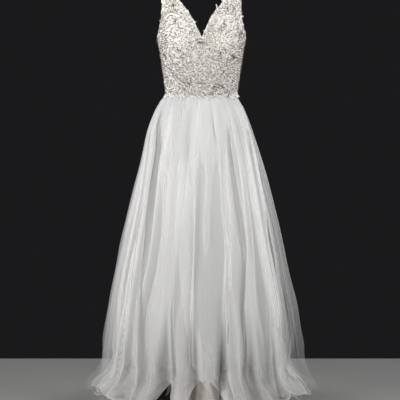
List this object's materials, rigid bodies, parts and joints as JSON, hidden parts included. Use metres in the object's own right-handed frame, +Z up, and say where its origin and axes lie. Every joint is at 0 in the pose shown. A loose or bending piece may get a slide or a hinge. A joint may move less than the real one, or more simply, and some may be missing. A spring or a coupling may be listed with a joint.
{
  "type": "wedding dress",
  "caption": "Floor-length A-line wedding dress: hollow V-neck lace bodice with wide straps over a gathered two-layer tulle skirt and satin underskirt, zip at the back.",
  "frame": {"origin": "midway between the shoulders at the height of the shoulder seams, where the wearer carries the straps", "axes": "+Z up, the front faces -Y, +X to the right of a viewer who faces the front"},
  "size_m": [0.8368, 0.8081, 1.45],
  "materials": {
    "lace": "ivory corded lace over champagne net, beaded",
    "lining": "plain ivory lining",
    "tulle": "sheer white tulle",
    "satin": "blush satin, soft sheen",
    "zip_tape": "ivory moulded coil",
    "zip_metal": "satin nickel"
  },
  "bodies": {
    "dress": {"bodice_front": "lace", "bodice_back_right": "lace", "bodice_back_left": "lace", "front_lining": "lining", "tulle_outer": "tulle", "tulle_inner": "tulle", "underskirt": "satin", "zip_coil": "zip_tape", "zip_slider": "zip_metal"},
    "pull_tab": {"zip_pull": "zip_metal"}
  },
  "joints": [
    {"name": "pull_hinge", "type": "hinge", "parent": "dress", "child": "pull_tab", "pos_m": [0, 0.10797, -0.2715], "axis": [1, 0, 0], "range_deg": [0, 160]}
  ]
}
